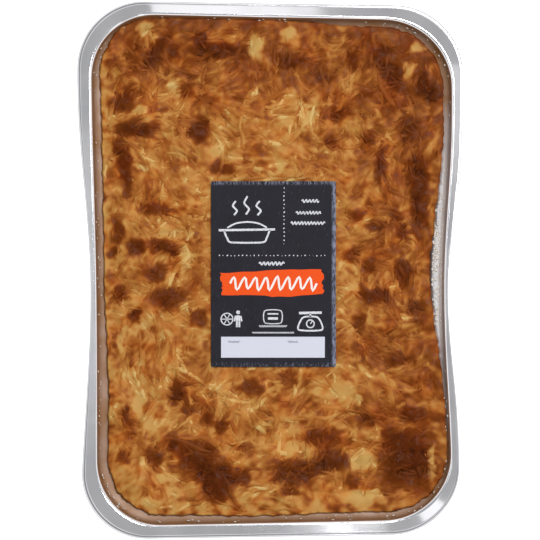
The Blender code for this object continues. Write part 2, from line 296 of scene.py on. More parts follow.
tray = {
    "width": 190 * mm,
    "length": 265 * mm,
    "height": 40 * mm,
    "foil": 0.5 * mm,
    "flangeSlope": math.radians(20),
    "flangeDish": 0.05 * mm,
    "bead": 0.8 * mm,
    "fold": 0.28 * mm,             # groove where the hem starts
    "wideFlange": 9 * mm,          # a narrower flange has a shallower groove
    "outerCorner": {"left": 33.5 * mm, "right": 33.5 * mm},
    "lipCorner": {"left": 31.5 * mm, "right": 33.5 * mm},
    "lipHalfWidth": 87.9 * mm,
    "lipHalfLength": 124.3 * mm,
    "baseCorner": 20 * mm,
    "pinchY": -9 * mm,
    "pinchEnd": 22 * mm,
    # How deep and how sharp each long side is pinched in, and how the whole line is off the middle
    "outerLine": {
        "left": (5.8 * mm, 1), "right": (6.6 * mm, 2), "shift": 0, "lean": 0, "taper": 0.0113,
    },
    "lipLine": {
        "left": (0.9 * mm, 1), "right": (4.0 * mm, 1.2),
        "shift": 1.5 * mm, "lean": -0.0072, "taper": 0.0155,
    },
    "taperY": 0.0104,
    "leanAtCorner": 0.43,
    "rimWave": 0.35 * mm,
    "waveFrom": 30 * mm,           # height where the rim's wave starts
    "straighter": 0.75,            # share of the pinch that is gone at the base
    "baseBorder": 6 * mm,
    "wall": [                      # in from the lip line, and height, in mm
        (16.0, 0.5), (12.9, 1.3), (10.9, 3.6), (10.1, 7.5), (8.6, 19.5), (7.2, 31.2), (6.5, 32.2),
        (2.3, 33.1), (0.75, 33.8), (0.5, 36.0), (0.3, 38.2), (0.1, 39.0), (-0.3, 39.5),
        (-0.75, 39.85), (-1.15, 40.0),
    ],
    "arcSteps": 18,
    "longSteps": 40,
    "shortSteps": 26,
    "dent": 0.10 * mm,             # slow waves pressed into the thin foil
    "dentSpan": 26 * mm,
}


# The long sides are squeezed in, and the rim leans a little out of square.
def squeezed(x, y, halfWidth, halfLength, line, share=1.0):
    middle = tray["pinchY"]
    reach = halfLength - tray["pinchEnd"] + math.copysign(middle, middle - y)
    depth, sharpness = line["right" if x > 0 else "left"]
    along = math.cos(clamp((y - middle) / reach, -1, 1) * math.pi / 2) ** (2 * sharpness)
    x -= share * depth * along * x / halfWidth
    wider = 1 + tray["taperY"] * y / (tray["length"] / 2)
    longer = 1 - line["taper"] * x / (tray["width"] / 2)
    return Vector((x * wider + line["shift"] + line["lean"] * y, y * longer))


def roundedLine(halfWidth, halfLength, corners):
    arcs = []
    for quarter, (sideX, sideY) in enumerate([(1, 1), (-1, 1), (-1, -1), (1, -1)]):
        corner = corners["right" if sideX > 0 else "left"]
        centre = Vector((sideX * (halfWidth - corner), sideY * (halfLength - corner)))
        steps = tray["arcSteps"]
        turns = [(quarter + step / steps) * math.pi / 2 for step in range(steps + 1)]
        arcs.append([centre + corner * Vector((math.cos(turn), math.sin(turn))) for turn in turns])
    points = []
    for quarter, arc in enumerate(arcs):
        following = arcs[(quarter + 1) % 4][0]
        steps = tray["shortSteps"] if quarter % 2 == 0 else tray["longSteps"]
        points += arc
        points += [arc[-1].lerp(following, step / steps) for step in range(1, steps)]
    return points


# Corner radius of the wall on one side, which gets tighter towards the base.
def wallCorner(side, depth=0.0):
    corner = tray["lipCorner"][side]
    return corner + (tray["baseCorner"] - corner) * depth


def trayLine(inset, height):
    halfWidth = tray["lipHalfWidth"] - inset
    halfLength = tray["lipHalfLength"] - inset
    depth = 1 - height / tray["height"]
    corners = {side: wallCorner(side, depth) for side in tray["lipCorner"]}
    share = 1 - tray["straighter"] * depth
    flat = roundedLine(halfWidth, halfLength, corners)
    return [squeezed(p.x, p.y, halfWidth, halfLength, tray["lipLine"], share) for p in flat]


def rimHeight(point):
    turn = math.atan2(point.y / tray["length"], point.x / tray["width"])
    wave = math.sin(3 * turn + 0.8) + 0.6 * math.sin(5 * turn + 2.1)
    return tray["rimWave"] * (wave / 1.6 - 1)


def wallRing(inset, height):
    share = clamp((height - tray["waveFrom"]) / (tray["height"] - tray["waveFrom"]))
    return [Vector((p.x, p.y, height + share * rimHeight(p))) for p in trayLine(inset, height)]


# Flange, hem curled under its edge, and the underside back to the wall.
def flangeRings():
    foil = tray["foil"]
    bead = tray["bead"]
    lastInset, lastHeight = tray["wall"][-1]
    lip = wallRing(lastInset * mm, lastHeight * mm)
    fold = tray["fold"]
    halfWidth = tray["width"] / 2 / (1 + tray["taperY"] * tray["leanAtCorner"])
    halfLength = tray["length"] / 2 / (1 + tray["outerLine"]["taper"] * tray["leanAtCorner"])
    outer = roundedLine(halfWidth, halfLength, tray["outerCorner"])
    outer = [squeezed(p.x, p.y, halfWidth, halfLength, tray["outerLine"]) for p in outer]
    across = [0.05, 0.2, 0.45, 0.65, 0.80, 0.85, 0.90, 0.95, 1.0]
    foldDepth = [0, 0, 0, 0, 0, 1, 0.1, 0.35, 0.6]
    curl = [math.radians(turn) for turn in (45, 90, 135, 180)]
    top = [[] for _ in across]
    under = [[] for _ in across]
    hemOut = [[] for _ in curl]
    hemIn = [[] for _ in curl]
    slope = tray["flangeSlope"]
    for start, end, before, after in zip(lip, outer, outer[-1:] + outer[:-1], outer[1:] + outer[:1]):
        along = (after - before).normalized()
        outward = Vector((along.y, -along.x, 0))
        out = outward * math.cos(slope) - Vector((0, 0, math.sin(slope)))
        normal = outward * math.sin(slope) + Vector((0, 0, math.cos(slope)))
        width = outward.dot(Vector((end.x - start.x, end.y - start.y, 0)))
        edge = Vector((end.x, end.y, start.z - width * math.tan(slope))) - out * bead
        wide = clamp(width / tray["wideFlange"])
        falls = [depth * (wide if share > 0.87 else 1) for share, depth in zip(across, foldDepth)]
        for ring, low, share, groove in zip(top, under, across, falls):
            dish = normal * (tray["flangeDish"] * math.sin(share * math.pi) + fold * groove) * wide
            ring.append(start.lerp(edge, share) - dish)
            low.append(ring[-1] - normal * foil)
        centre = edge - normal * (bead + fold * falls[-1] * wide)
        for ring, inner, turn in zip(hemOut, hemIn, curl):
            arm = normal * math.cos(turn) + out * math.sin(turn)
            ring.append(centre + arm * bead)
            inner.append(centre + arm * (bead - foil))
    return top + hemOut + hemIn[::-1] + under[::-1]


# Slow waves of the thin foil, strongest on the free rim.
def dented(point):
    share = clamp((point.z - 5 * mm) / (25 * mm))
    span = tray["dentSpan"]
    wave = noise.noise(Vector((point.x / span, point.y / span, 1.7)))
    wave += 0.4 * noise.noise(Vector((2.6 * point.x / span, 2.6 * point.y / span, 6.2)))
    lift = tray["dent"] * wave * share
    side = 1 + 0.6 * lift / (0.1 + abs(point.x) + abs(point.y))
    return Vector((point.x * side, point.y * side, point.z + lift))


def makeTray():
    foil = tray["foil"]
    wall = [(inset * mm, height * mm) for inset, height in tray["wall"]]
    baseInset = wall[0][0] + tray["baseBorder"]
    rings = [wallRing(baseInset, wall[0][1])]
    rings += [wallRing(inset, height) for inset, height in wall]
    innerCount = len(rings)
    rings += flangeRings()
    groove = innerCount + 5
    underLip = (innerCount - 6, innerCount - 5, innerCount - 4)
    filmTop = innerCount - 3
    rings += [wallRing(inset - foil, height) for inset, height in wall[3:-2]][::-1]
    rings += [wallRing(inset - 0.7 * foil, height - 0.6 * foil) for inset, height in wall[1:3]][::-1]
    rings.append(wallRing(wall[0][0], 0.0))
    rings.append(wallRing(baseInset, 0.0))
    rings = [[dented(point) for point in ring] for ring in rings]
    shape = bmesh.new()
    stain = shape.verts.layers.float.new("inside")
    paintedShade = shape.verts.layers.float.new("paintedShade")
    bmesh.ops.create_circle(shape, cap_ends=True, segments=len(rings[0]), radius=1)
    shape.verts.ensure_lookup_table()
    spot = {vert: number for number, vert in enumerate(shape.verts)}
    for vert, number in spot.items():
        vert.co = rings[0][number]
    for vert in shape.verts:
        vert[stain] = 1.0
        vert[paintedShade] = 0.0
    border = list(shape.edges)
    for level, ring in enumerate(rings[1:], 1):
        border = pullRing(shape, border, spot, ring.__getitem__)
        for vert in {vert for edge in border for vert in edge.verts}:
            vert[stain] = 1.0 if level < filmTop else 0.0
            # painted shade: the hem's groove and a band just under the lip are marked for a darker foil
            # colour, which stands in for the shade there
            vert[paintedShade] = 1.0 if level == groove else 0.7 if level in underLip else 0.0
    bmesh.ops.holes_fill(shape, edges=border, sides=0)
    bmesh.ops.recalc_face_normals(shape, faces=shape.faces)
    piece = finishPiece("foilTray", shape, foilSurface())
    rounding = piece.modifiers.new("rounding", "SUBSURF")
    rounding.levels = 1
    rounding.render_levels = 1
    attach(piece, "root")
    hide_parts("foil_tray")
    print("tray done")


def foilSurface():
    surface = newMaterial("pressedFoil", (0.86, 0.86, 0.88), 0.22, 1.0)
    n = Nodes(surface)
    place = n.place()
    patch = n.speckle(place, 60, 3)
    drawn = n.speckle(n.stretched(place, (1, 1, 0.15)), 700, 2)
    acrossTray = n.spread(n.axis(place, "X"), 0.02, 0.08, 1.0, 0.2)
    farAlong = n.spread(n.maths("ABSOLUTE", n.axis(place, "Y"), 0.0), 0.045, 0.085, 0.2, 1.0)
    splashed = n.spread(n.axis(place, "Z"), 32.8 * mm, 33.2 * mm, 0.0, 0.6)
    sides = n.maths("MAXIMUM", n.maths("MAXIMUM", acrossTray, farAlong), splashed)
    side = n.maths("MULTIPLY", sides, n.attribute("inside"))
    film = n.maths("MULTIPLY", side, n.spread(n.speckle(place, 90, 3), 0.3, 0.75, 0.88, 1.0))
    clean = n.ramp(patch, [(0.3, (0.80, 0.80, 0.82)), (0.7, (0.89, 0.89, 0.91))])
    # painted shade: the foil colour goes towards near black in the hem's groove and under the lip
    dark = n.blend(n.maths("MULTIPLY", n.attribute("paintedShade"), 0.75), clean, (0.10, 0.10, 0.11))
    n.give(Base_Color=n.blend(film, dark, srgb(122, 78, 31)))
    n.give(Metallic=n.spread(film, 0, 1, 1.0, 0.1))
    worn = n.maths("MULTIPLY_ADD", n.attribute("inside"), 0.13, n.maths("MULTIPLY", film, 0.25))
    n.give(Roughness=n.maths("ADD", n.spread(patch, 0.3, 0.7, 0.09, 0.13), worn))
    n.give(Normal=n.bump(drawn, 0.02, 0.05 * mm))
    return surface


# Gratin crust

crust = {
    "level": 34.6 * mm,
    "edgeDrop": 1.5 * mm,
    "lowEdge": 32.9 * mm,          # height of the edge where it stays off the ledge
    "underEdge": 31.7 * mm,        # height of the gratin's side just under its edge
    "besideLedge": 31.0 * mm,      # and beside the ledge
    "besideRise": 1.75 * mm,       # which is higher where the edge covers the ledge
    "pastLedge": 0.8 * mm,
    "edgeRound": 7 * mm,
    "dome": 1.0 * mm,
    "lumpHeight": 2.3 * mm,
    "lumpSpan": 24 * mm,
    "blisterHeight": 1.7 * mm,
    "blisterSpan": 11 * mm,
    "gap": 0.5 * mm,
    # In from the lip line in mm, at twelve turns anticlockwise from the middle of the right side
    "edgeInset": [6.4, 3.7, 3.1, 0.6, 0.45, 4.3, 3.6, 5.4, 4.2, 3.0, 4.1, 1.4],
    "leastInset": 0.45 * mm,
    "corner": {"left": 28 * mm, "right": 30 * mm},
    "gridX": 244,
    "gridY": 340,
    "ragged": 0.7 * mm,            # nibs of the baked edge
    "streakHeight": 0.28 * mm,
    "bubbleHeight": 0.55 * mm,
    "tones": [                     # from the palest cheese to the darkest blister
        (0.00, (210, 170, 106)), (0.05, (198, 150, 84)), (0.15, (188, 132, 68)), (0.30, (177, 115, 55)),
        (0.45, (164, 99, 44)), (0.60, (149, 84, 36)), (0.75, (128, 67, 27)), (0.88, (103, 49, 18)),
        (1.00, (68, 31, 9)),
    ],
    "seed": 5,
}

label = {
    "width": 61.5 * mm,
    "length": 91.5 * mm,
    "centre": (1.7 * mm, -2.0 * mm),
    "press": 12 * mm,
}

# Browned blisters and pale gaps that show in the crust:
# middle x and y, width and length in mm, turn in degrees, and how strong

brownSpots = [
    (-56, 107, 19, 6, 59, 0.55), (-24, 108, 26, 7, -5, 0.6), (-35, 114, 6, 6, 0, 0.85),
    (-66, 70, 17, 8, 0, 0.6), (-72, 52, 26, 7, 100, 0.5), (-35, 69, 9, 11, 0, 0.7),
    (-74, 83, 10, 7, 0, 0.4), (-43, 89, 6, 5, 0, 0.3), (-23, 50, 10, 7, 0, 0.35),
    (-47, 108, 6, 6, 0, 0.4), (58, 108, 10, 5, 0, 0.5), (59, 97, 21, 7, 132, 0.7),
    (78, 89, 11, 9, 0, 0.65), (76, 94, 7, 6, 0, 0.4), (41, 103, 4, 9, 0, 0.45), (27, 95, 8, 7, 0, 0.45),
    (49, 65, 7, 6, 0, 0.3), (54, 51, 6, 17, 0, 0.45), (73, 38, 8, 34, 0, 0.55), (69, 69, 10, 12, 0, 0.5),
    (31, 76, 10, 6, 0, 0.4), (10, 103, 15, 5, 0, 0.4), (30, 63, 6, 5, 0, 0.3), (-57, 30, 15, 7, 0, 0.4),
    (-66, 11, 7, 7, 0, 0.5), (-53, 11, 14, 6, -20, 0.6), (-58, -3, 7, 7, 0, 0.4),
    (-54, 0, 7, 7, 0, 0.3), (-50, -14, 14, 10, 0, 0.45), (-76, 19, 6, 10, 0, 0.4),
    (-74, -12, 7, 7, 0, 0.3), (-67, -23, 6, 6, 0, 0.35), (-78, 8, 5, 6, 0, 0.35),
    (-35, -24, 8, 8, 0, 0.3), (53, 22, 9, 5, 0, 0.35), (63, 27, 7, 6, 0, 0.35), (65, 19, 6, 6, 0, 0.4),
    (66, -2, 8, 12, 0, 0.55), (51, -13, 12, 7, 0, 0.5), (49, 1, 6, 6, 0, 0.3), (71, -18, 9, 6, 0, 0.45),
    (40, 8, 6, 6, 0, 0.3), (42, 27, 6, 7, 0, 0.3), (44, -25, 6, 6, 0, 0.3), (-46, -61, 8, 8, 0, 0.55),
    (-48, -86, 6, 9, 0, 0.55), (-32, -97, 29, 15, -45, 0.65), (-26, -107, 10, 12, 0, 0.8),
    (-15, -103, 8, 7, 0, 0.5), (-9, -58, 10, 7, 0, 0.35), (-71, -72, 4, 10, 0, 0.5),
    (-58, -93, 7, 9, 0, 0.4), (-30, -73, 7, 6, 0, 0.35), (-24, -78, 6, 5, 0, 0.35),
    (-40, -69, 6, 6, 0, 0.4), (-73, -93, 6, 6, 0, 0.25), (68, -94, 23, 23, 0, 0.6),
    (60, -82, 10, 10, 0, 0.4), (71, -71, 12, 6, 0, 0.45), (27, -83, 15, 9, 0, 0.45),
    (32, -94, 13, 10, 0, 0.5), (26, -97, 10, 8, 0, 0.5), (12, -100, 20, 12, 0, 0.45),
    (49, -73, 9, 5, 0, 0.4), (9, -53, 8, 6, 0, 0.3), (64, -44, 12, 6, 0, 0.35),
    (11, -109, 8, 5, 0, 0.3), (40, -104, 8, 5, 0, 0.35),
]

paleSpots = [
    (-48, 91, 4, 6, 0, 0.6), (-64, 79, 5, 4, 0, 0.7), (-62, 119, 8, 6, 0, 0.5),
    (-7, 110, 6, 12, 0, 0.6), (-62, 51, 10, 3, 0, 0.5), (-26, 57, 6, 5, 0, 0.4),
    (19, 74, 10, 4, 45, 0.6), (67, 100, 6, 8, 0, 0.45), (73, 110, 8, 5, 0, 0.45),
    (9, 117, 6, 5, 0, 0.5), (19, 81, 10, 2, 0, 0.4), (6, 53, 6, 4, 0, 0.6), (-53, 20, 7, 5, 0, 0.5),
    (-40, 19, 5, 5, 0, 0.4), (-42, 9, 6, 9, 0, 0.6), (-41, 2, 4, 4, 0, 0.6), (-51, -32, 7, 5, 0, 0.45),
    (-73, -34, 3, 15, 0, 0.6), (-62, -27, 5, 4, 0, 0.4), (41, -9, 6, 5, 0, 0.5),
    (66, -23, 7, 4, 0, 0.5), (-64, -67, 5, 17, 0, 0.5), (-59, -77, 7, 7, 0, 0.5),
    (-53, -103, 10, 5, 0, 0.5), (-47, -109, 7, 6, 0, 0.5), (-59, -115, 10, 5, 0, 0.6),
    (36, -59, 12, 9, 0, 0.7), (44, -64, 4, 4, 0, 0.8), (46, -94, 15, 10, 0, 0.6),
    (80, -94, 4, 20, 0, 0.6), (45, -112, 20, 7, 0, 0.7), (10, -88, 7, 6, 0, 0.45),
]


# Smooth random hills from about -1 to 1, for arrays of points.
def hills(x, y, span, seed):
    size = 64
    draw = np.random.default_rng(seed)
    turn = draw.uniform(0, 2 * math.pi, (size, size))
    slopeX, slopeY = np.cos(turn), np.sin(turn)
    px, py = x / span + 200, y / span + 200
    column, row = np.floor(px).astype(int), np.floor(py).astype(int)
    fx, fy = px - column, py - row
    near = []
    for stepY in (0, 1):
        for stepX in (0, 1):
            at = ((row + stepY) % size, (column + stepX) % size)
            near.append(slopeX[at] * (fx - stepX) + slopeY[at] * (fy - stepY))
    sx, sy = easeMany(fx), easeMany(fy)
    low = near[0] + (near[1] - near[0]) * sx
    high = near[2] + (near[3] - near[2]) * sx
    return (low + (high - low) * sy) * 1.5


# Direction that the strands lie in, in radians.
def flow(x, y):
    seed = crust["seed"]
    return 3.4 * hills(x, y, 40 * mm, seed) + 1.2 * hills(x, y, 16 * mm, seed + 1)


# Hills drawn out along the strands.
def streaks(x, y, span, seed, steps=9, stride=0.9 * mm):
    total = 0
    heading = flow(x, y)
    for number in range(-(steps // 2), steps // 2 + 1):
        way = number * stride
        total = total + hills(x + way * np.cos(heading), y + way * np.sin(heading), span, seed)
    return total / math.sqrt(steps) / 1.3


# How strongly the spots show. A spot's middle is even, and its edge fades out at its reach.
def spotShare(x, y, spots, reach=1.55):
    total = np.zeros_like(x)
    for middleX, middleY, wide, long, turn, depth in spots:
        angle = math.radians(turn)
        dx, dy = x - middleX * mm, y - middleY * mm
        along = (dx * math.cos(angle) + dy * math.sin(angle)) / (wide * mm / 2)
        aside = (dy * math.cos(angle) - dx * math.sin(angle)) / (long * mm / 2)
        total += depth * easeMany(1.35 * (1 - np.hypot(along, aside) / reach))
    return total


# How brown, how pale and how red the crust is, for arrays of points.
def baked(x, y):
    seed = crust["seed"]
    warpX = x + 2.2 * mm * hills(x, y, 8 * mm, seed + 2) + 1.0 * mm * hills(x, y, 3 * mm, seed + 3)
    warpY = y + 2.2 * mm * hills(x, y, 8 * mm, seed + 4) + 1.0 * mm * hills(x, y, 3 * mm, seed + 5)
    brown = spotShare(warpX, warpY, brownSpots)
    pale = spotShare(warpX, warpY, paleSpots, 1.4)
    sideX, sideY = x / tray["lipHalfWidth"], y / tray["lipHalfLength"]
    band = np.maximum(easeMany((-sideX - 0.86) / 0.08), easeMany((-sideY - 0.88) / 0.06))
    tone = 0.30 + 1.15 * brown - 0.62 * pale - band * (0.04 + 0.26 * hills(x, y, 5 * mm, seed + 12))
    tone += 0.12 * easeMany((sideY - 0.5) / 0.4) + 0.10 * easeMany((sideX - 0.35) / 0.4)
    tone += 0.09 * hills(x, y, 15 * mm, seed + 6) + 0.11 * hills(warpX, warpY, 7 * mm, seed + 7)
    tone += 0.12 * hills(warpX, warpY, 3.4 * mm, seed + 8) + 0.10 * streaks(x, y, 2.0 * mm, seed + 9)
    ruddy = 0.5 + 0.5 * hills(x, y, 13 * mm, seed + 10) + 0.5 * hills(warpX, warpY, 5 * mm, seed + 11)
    return tone, np.clip(pale, 0, 1), np.clip(ruddy, 0, 1)


def edgeInset(x, y):
    steps = crust["edgeInset"]
    turn = math.atan2(y / tray["lipHalfLength"], x / tray["lipHalfWidth"]) / math.tau * len(steps)
    first = math.floor(turn)
    here, following = steps[first % len(steps)], steps[(first + 1) % len(steps)]
    return (here + (following - here) * ease(turn - first)) * mm


# A point of the square field -1..1, taken into a rounded rectangle.
def ontoRounded(u, v, wide, long, bend):
    size = max(abs(u), abs(v))
    if size < 1e-9:
        return 0.0, 0.0
    px, py = u * wide, v * long
    overX = abs(px) - (wide - bend) * size
    overY = abs(py) - (long - bend) * size
    if overX > 0 and overY > 0:
        reach = math.hypot(overX, overY)
        px = math.copysign((wide - bend + bend * overX / reach) * size, px)
        py = math.copysign((long - bend + bend * overY / reach) * size, py)
    return px, py


def onOutline(u, v, inset, corners):
    halfWidth = tray["lipHalfWidth"] - inset
    halfLength = tray["lipHalfLength"] - inset
    px, py = ontoRounded(u, v, halfWidth, halfLength, corners["right" if u > 0 else "left"])
    return squeezed(px, py, halfWidth, halfLength, tray["lipLine"])


def nearLabel(x, y):
    beyondX = abs(x - label["centre"][0]) - label["width"] / 2
    beyondY = abs(y - label["centre"][1]) - label["length"] / 2
    beyond = math.hypot(max(0.0, beyondX), max(0.0, beyondY))
    return 1 - ease(beyond / label["press"])


def relief(x, y):
    lump = noise.noise(Vector((x / crust["lumpSpan"], y / crust["lumpSpan"], 3.7)))
    blister = noise.noise(Vector((x / crust["blisterSpan"], y / crust["blisterSpan"], 9.1)))
    fine = noise.noise(Vector((2.2 * x / crust["blisterSpan"], 2.2 * y / crust["blisterSpan"], 5.3)))
    height = crust["lumpHeight"] * lump
    height += crust["blisterHeight"] * (abs(blister) * 2 - 0.5 + 0.5 * fine)
    return height * (1 - 0.8 * nearLabel(x, y))


def crustHeight(x, y):
    rimX = abs(x) / (tray["lipHalfWidth"] - 4 * mm)
    rimY = abs(y) / (tray["lipHalfLength"] - 4 * mm)
    middle = (1 - clamp(rimX) ** 4) * (1 - clamp(rimY) ** 4)
    return crust["level"] + crust["dome"] * middle + relief(x, y)


def edgeHeight(x, y):
    ledgeInner, ledgeOuter = tray["wall"][6], tray["wall"][7]
    cover = clamp((ledgeInner[0] * mm + crust["gap"] - edgeInset(x, y)) / (2 * mm))
    low = crust["lowEdge"] + 0.3 * relief(x, y)
    aboveLedge = ledgeOuter[1] * mm + crust["gap"] + 0.9 * mm
    high = max(aboveLedge, crust["level"] - crust["edgeDrop"] + 0.5 * relief(x, y))
    return low + (high - low) * ease(cover)


def crustPoint(u, v):
    inset = edgeInset(*onOutline(u, v, 4 * mm, crust["corner"]))
    rough = onOutline(u, v, inset, crust["corner"])
    size = max(abs(u), abs(v))
    nibs = noise.noise(Vector((rough.x / (4.5 * mm), rough.y / (4.5 * mm), 2.2)))
    nibs += 0.6 * noise.noise(Vector((rough.x / (1.9 * mm), rough.y / (1.9 * mm), 8.2)))
    inset = max(crust["leastInset"], inset + crust["ragged"] * nibs * ease((size - 0.9) / 0.1))
    flat = onOutline(u, v, inset, crust["corner"])
    fromEdge = (1 - size) * (tray["lipHalfWidth"] - inset)
    share = ease(fromEdge / crust["edgeRound"])
    low = edgeHeight(*flat)
    return Vector((*flat, low + (crustHeight(*flat) - low) * share)), ease(fromEdge / (2.5 * mm))


# The gratin's side, from its crust down the wall, each as a function of a place on the border.
def sideRings():
    gap = crust["gap"]
    wall = [(inset * mm, height * mm) for inset, height in tray["wall"]]
    ledgeInner, ledgeOuter = wall[6], wall[7]
    sideTop = ledgeInner[0] + crust["pastLedge"] + gap

    def wallCorners(inset):
        return {side: wallCorner(side) - inset * 0.5 for side in tray["lipCorner"]}

    def underEdge(place):
        inset = min(sideTop, edgeInset(*onOutline(*place, 4 * mm, crust["corner"])) + 0.5 * mm)
        rise = (sideTop - inset) / (sideTop - ledgeOuter[0])
        low = crust["underEdge"]
        point = onOutline(*place, inset, wallCorners(inset))
        return Vector((*point, low + (ledgeOuter[1] + gap - low) * ease(3 * rise)))

    def besideLedge(place):
        cover = clamp((sideTop - edgeInset(*onOutline(*place, 4 * mm, crust["corner"]))) / (1.5 * mm))
        point = onOutline(*place, sideTop, wallCorners(sideTop))
        return Vector((*point, crust["besideLedge"] + crust["besideRise"] * ease(cover)))

    def downWall(inset, height):
        depth = 1 - height / tray["height"]
        halfWidth = tray["lipHalfWidth"] - inset
        halfLength = tray["lipHalfLength"] - inset

        def ring(place):
            bend = wallCorner("right" if place[0] > 0 else "left", depth)
            px, py = ontoRounded(*place, halfWidth, halfLength, bend)
            point = squeezed(px, py, halfWidth, halfLength, tray["lipLine"], 1 - 0.75 * depth)
            return Vector((*point, height))

        return ring

    return [
        underEdge,
        besideLedge,
        downWall(wall[5][0] + gap, wall[5][1] - 2 * mm),
        downWall(wall[3][0] + gap, wall[3][1]),
        downWall(wall[1][0] + 1.6 * mm, wall[1][1] + 0.9 * mm),
        downWall(wall[0][0] + 1.5 * mm, wall[0][1] + gap),
    ]


# The gratin: its baked top with streaks and bubbles, and the side down to the base.
def makeCrust(surface):
    shape = bmesh.new()
    bmesh.ops.create_grid(shape, x_segments=crust["gridX"], y_segments=crust["gridY"], size=1)
    free = shape.verts.layers.float.new("free")
    spot = {vert: (vert.co.x, vert.co.y) for vert in shape.verts}
    for vert, place in spot.items():
        vert.co, vert[free] = crustPoint(*place)
    border = [edge for edge in shape.edges if edge.is_boundary]
    for ring in sideRings():
        border = pullRing(shape, border, spot, ring)
        for vert in {vert for edge in border for vert in edge.verts}:
            vert[free] = 0.0
    bmesh.ops.holes_fill(shape, edges=border, sides=0)
    bmesh.ops.recalc_face_normals(shape, faces=shape.faces)
    piece = finishPiece("gratinCrust", shape, surface)
    mesh = piece.data
    count = len(mesh.vertices)
    points = np.empty(count * 3)
    mesh.vertices.foreach_get("co", points)
    points = points.reshape(-1, 3)
    weight = np.empty(count)
    mesh.attributes["free"].data.foreach_get("value", weight)
    x, y = points[:, 0], points[:, 1]
    tone, pale, ruddy = baked(x, y)
    seed = crust["seed"]
    flatter = 1 - 0.7 * np.array([nearLabel(px, py) for px, py in zip(x, y)])
    detail = crust["streakHeight"] * streaks(x, y, 2.2 * mm, seed + 9) * (1 - 0.6 * pale)
    bubbles = np.clip(hills(x, y, 5 * mm, seed + 20) + 0.3 * hills(x, y, 2.4 * mm, seed + 21), -0.2, 1)
    detail += crust["bubbleHeight"] * bubbles * easeMany((tone - 0.35) / 0.4)
    points[:, 2] += detail * weight * flatter
    mesh.vertices.foreach_set("co", points.ravel())
    mesh.update()
    top = weight > 0.5
    toneScale = np.quantile(tone[top], np.linspace(0, 1, 101))
    writeBake(mesh, evened(tone, toneScale), pale, ruddy)
    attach(piece, "root")
    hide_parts("gratin")
    print("crust done,", len(mesh.polygons), "faces")
    return piece, toneScale


# Spreads the browning evenly from 0, palest, to 1, darkest.
def evened(tone, toneScale):
    return np.interp(tone, toneScale, np.linspace(0, 1, len(toneScale)))


def writeBake(mesh, brown, pale, ruddy):
    for name, values in (("brown", brown), ("pale", pale), ("ruddy", ruddy)):
        layer = mesh.attributes.new(name, "FLOAT", "POINT")
        layer.data.foreach_set("value", np.asarray(values, np.float32))


# Melted shreds of cheese

shreds = {
    "meltedShreds": {
        "count": 1600, "seed": 31, "length": (12 * mm, 34 * mm), "halfWidth": (0.6 * mm, 1.5 * mm),
        "rise": 0.22, "lift": (-0.20 * mm, 0.05 * mm), "tone": (-0.10, 0.24), "bend": 0.9, "stray": 0.35,
    },
    "crispShreds": {
        "count": 620, "seed": 32, "length": (8 * mm, 24 * mm), "halfWidth": (0.36 * mm, 0.8 * mm),
        "rise": 0.34, "lift": (-0.18 * mm, 0.05 * mm), "tone": (-0.12, 0.22), "bend": 1.3, "stray": 0.8,
    },
}
shredSteps = 7
shredSides = [math.radians(turn) for turn in (-25, 40, 90, 140, 205)]


# Bent lines across the crust: arrays of x, y and heading, one row for each shred.
def shredPaths(kind):
    draw = np.random.default_rng(kind["seed"])
    count = kind["count"] * 2
    x = draw.uniform(-1, 1, count) * (tray["lipHalfWidth"] - 3 * mm)
    y = draw.uniform(-1, 1, count) * (tray["lipHalfLength"] - 3 * mm)
    length = draw.uniform(*kind["length"], count)
    heading = flow(x, y) + draw.normal(0, kind["stray"], count)
    bend = draw.normal(0, kind["bend"], count)
    wiggle = draw.normal(0, 0.22, (shredSteps + 1, count))
    step = length / shredSteps
    x, y = x - np.cos(heading) * length / 2, y - np.sin(heading) * length / 2
    heading = heading - bend / 2
    rows = []
    for number in range(shredSteps + 1):
        rows.append((x, y, heading))
        heading = heading + bend / shredSteps + wiggle[number]
        x, y = x + np.cos(heading) * step, y + np.sin(heading) * step
    return np.stack(rows).transpose(2, 1, 0), draw


